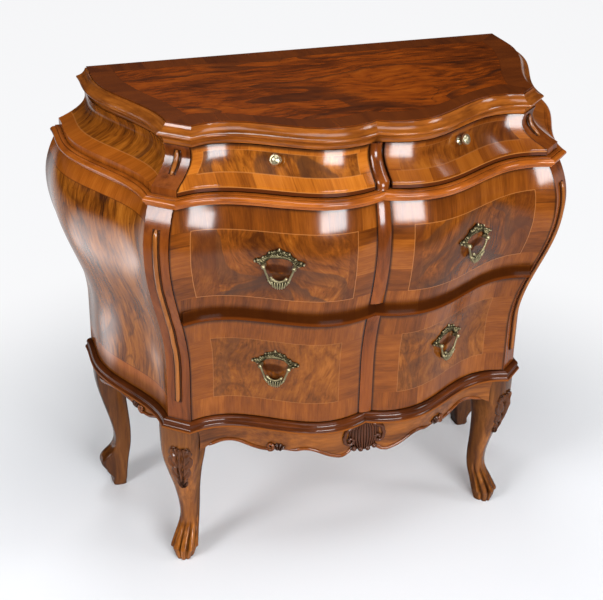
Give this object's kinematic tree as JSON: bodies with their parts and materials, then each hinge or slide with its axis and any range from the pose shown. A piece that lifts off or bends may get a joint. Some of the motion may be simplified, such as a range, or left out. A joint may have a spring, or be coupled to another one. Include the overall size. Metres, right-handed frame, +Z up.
{
  "type": "bombe chest of drawers",
  "caption": "Bombe walnut chest with a shaped top, double-lobed front, short frieze drawers over long drawers, brass drop handles, a carved apron and cabriole legs.",
  "frame": {"origin": "on the floor under the middle of the bounding box", "axes": "+Z up, the front faces -Y, +X to the right as seen from the front"},
  "size_m": [0.936, 0.454, 0.85],
  "materials": {
    "front_veneer": "polished figured walnut veneer",
    "case_veneer": "polished walnut veneer",
    "top_veneer": "polished bookmatched walnut veneer",
    "moulding_wood": "polished solid walnut",
    "carved_wood": "carved and waxed walnut",
    "inner_wood": "plain unpolished softwood",
    "brass": "aged cast brass"
  },
  "bodies": {
    "case": {"apron_shell": "carved_wood", "back_panel": "inner_wood", "back_rail": "inner_wood", "base_moulding": "moulding_wood", "bottom_board": "inner_wood", "corner_beads": "moulding_wood", "corner_post_left": "case_veneer", "corner_post_right": "case_veneer", "drawer_guides": "inner_wood", "dust_board": "inner_wood", "front_apron": "front_veneer", "leg_back_left": "carved_wood", "leg_back_right": "carved_wood", "leg_front_left": "carved_wood", "leg_front_right": "carved_wood", "neck_back": "inner_wood", "neck_corner_left": "case_veneer", "neck_corner_right": "case_veneer", "neck_divider": "moulding_wood", "neck_side_left": "case_veneer", "neck_side_right": "case_veneer", "side_apron_left": "case_veneer", "side_apron_right": "case_veneer", "side_panel_left": "case_veneer", "side_panel_right": "case_veneer", "top_board": "top_veneer", "top_moulding": "moulding_wood", "waist_board": "moulding_wood", "waist_moulding": "moulding_wood"},
    "frieze_drawer_left": {"frieze_drawer_left_back": "inner_wood", "frieze_drawer_left_bottom": "inner_wood", "frieze_drawer_left_front": "front_veneer", "frieze_drawer_left_knob": "brass", "frieze_drawer_left_side_left": "inner_wood", "frieze_drawer_left_side_right": "inner_wood"},
    "frieze_drawer_right": {"frieze_drawer_right_back": "inner_wood", "frieze_drawer_right_bottom": "inner_wood", "frieze_drawer_right_front": "front_veneer", "frieze_drawer_right_knob": "brass", "frieze_drawer_right_side_left": "inner_wood", "frieze_drawer_right_side_right": "inner_wood"},
    "upper_drawer": {"upper_drawer_back": "inner_wood", "upper_drawer_bead": "moulding_wood", "upper_drawer_bottom": "inner_wood", "upper_drawer_front": "front_veneer", "upper_drawer_handle_plates": "brass", "upper_drawer_side_left": "inner_wood", "upper_drawer_side_right": "inner_wood"},
    "lower_drawer": {"lower_drawer_back": "inner_wood", "lower_drawer_bead": "moulding_wood", "lower_drawer_bottom": "inner_wood", "lower_drawer_front": "front_veneer", "lower_drawer_handle_plates": "brass", "lower_drawer_side_left": "inner_wood", "lower_drawer_side_right": "inner_wood"},
    "upper_drawer_bail_left": {"upper_drawer_bail_left": "brass"},
    "upper_drawer_bail_right": {"upper_drawer_bail_right": "brass"},
    "lower_drawer_bail_left": {"lower_drawer_bail_left": "brass"},
    "lower_drawer_bail_right": {"lower_drawer_bail_right": "brass"}
  },
  "joints": [
    {"name": "frieze_drawer_left_slide", "type": "slide", "parent": "case", "child": "frieze_drawer_left", "axis": [0, -1, 0], "range_m": [0, 0.21]},
    {"name": "frieze_drawer_right_slide", "type": "slide", "parent": "case", "child": "frieze_drawer_right", "axis": [0, -1, 0], "range_m": [0, 0.21]},
    {"name": "upper_drawer_slide", "type": "slide", "parent": "case", "child": "upper_drawer", "axis": [0, -1, 0], "range_m": [0, 0.24]},
    {"name": "lower_drawer_slide", "type": "slide", "parent": "case", "child": "lower_drawer", "axis": [0, -1, 0], "range_m": [0, 0.24]},
    {"name": "upper_drawer_bail_left_swing", "type": "hinge", "parent": "upper_drawer", "child": "upper_drawer_bail_left", "pos_m": [-0.17173, -0.20324, 0.63933], "axis": [-0.8837, 0.468, 0], "range_deg": [0, 85]},
    {"name": "upper_drawer_bail_right_swing", "type": "hinge", "parent": "upper_drawer", "child": "upper_drawer_bail_right", "pos_m": [0.17173, -0.20324, 0.63933], "axis": [-0.8837, -0.468, 0], "range_deg": [0, 85]},
    {"name": "lower_drawer_bail_left_swing", "type": "hinge", "parent": "lower_drawer", "child": "lower_drawer_bail_left", "pos_m": [-0.16017, -0.15037, 0.42553], "axis": [-0.8528, 0.5222, 0], "range_deg": [0, 85]},
    {"name": "lower_drawer_bail_right_swing", "type": "hinge", "parent": "lower_drawer", "child": "lower_drawer_bail_right", "pos_m": [0.16017, -0.15037, 0.42553], "axis": [-0.8528, -0.5222, 0], "range_deg": [0, 85]}
  ]
}
